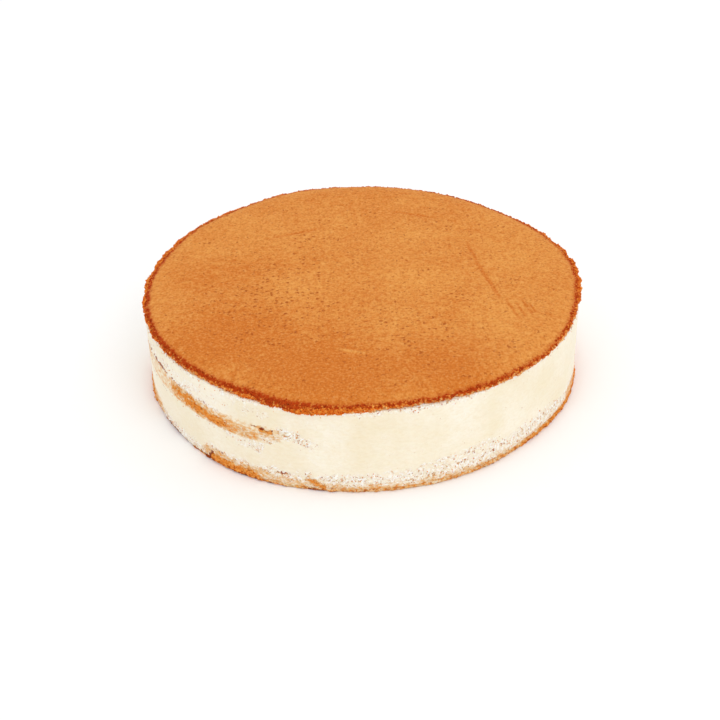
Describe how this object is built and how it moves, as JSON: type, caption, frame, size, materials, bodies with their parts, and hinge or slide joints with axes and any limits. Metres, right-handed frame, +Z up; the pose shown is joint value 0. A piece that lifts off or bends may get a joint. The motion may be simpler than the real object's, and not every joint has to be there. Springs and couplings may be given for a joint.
{
  "type": "naked cake",
  "caption": "Round uncut layer cake: sponge discs with thick cream between them, a scraped cream side and a smooth baked sponge top.",
  "frame": {"origin": "centre of the flat base, on the surface the cake stands on", "axes": "+Z up; the side the picture shows faces -Y, +X to its right"},
  "size_m": [0.261, 0.2595, 0.0593],
  "materials": {
    "sponge_crumb": "torn golden sponge crumb, matte and porous",
    "cream": "scraped ivory cream, satin, slightly translucent",
    "sponge_skin": "baked golden-brown sponge skin, matte with fine pores"
  },
  "bodies": {
    "root": {"sponge_bottom": "sponge_crumb", "cream_lower": "cream", "sponge_middle": "sponge_crumb", "cream_upper": "cream", "sponge_top": "sponge_skin"}
  },
  "joints": []
}
